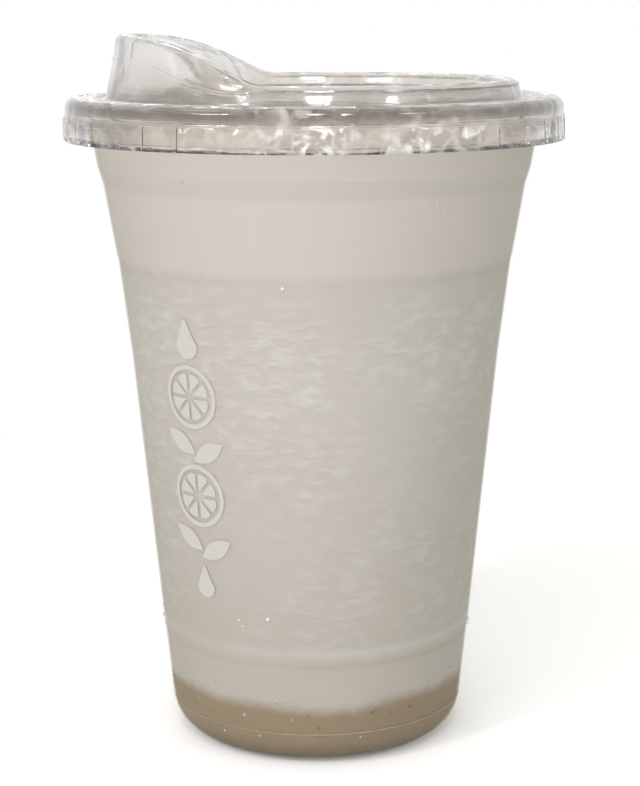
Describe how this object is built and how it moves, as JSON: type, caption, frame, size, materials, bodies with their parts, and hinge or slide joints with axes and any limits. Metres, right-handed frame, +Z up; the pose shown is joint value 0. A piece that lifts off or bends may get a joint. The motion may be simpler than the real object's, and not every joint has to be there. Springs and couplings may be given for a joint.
{
  "type": "lemonade slush in a lidded cup",
  "caption": "Lemonade slush in a tall clear tapered cold-drink cup, with a layer of melted syrup at the bottom and a clear sip lid with a raised spout.",
  "frame": {"origin": "on the surface the cup stands on, under the middle of its foot", "axes": "+Z up along the cup's axis, -X towards the lid's spout, +Y to the back"},
  "size_m": [0.1022, 0.1022, 0.1455],
  "materials": {
    "cup_plastic": "clear thin formed sheet, glossy, slightly misted by the cold",
    "lid_plastic": "clear thin formed sheet, glossy, slightly creased",
    "slush": "fine wet crushed ice, soft and faintly mottled",
    "syrup": "cloudy tan melt with a few small bubbles"
  },
  "bodies": {
    "root": {"cup": "cup_plastic", "syrup": "syrup", "slush": "slush", "lid": "lid_plastic"}
  },
  "joints": []
}
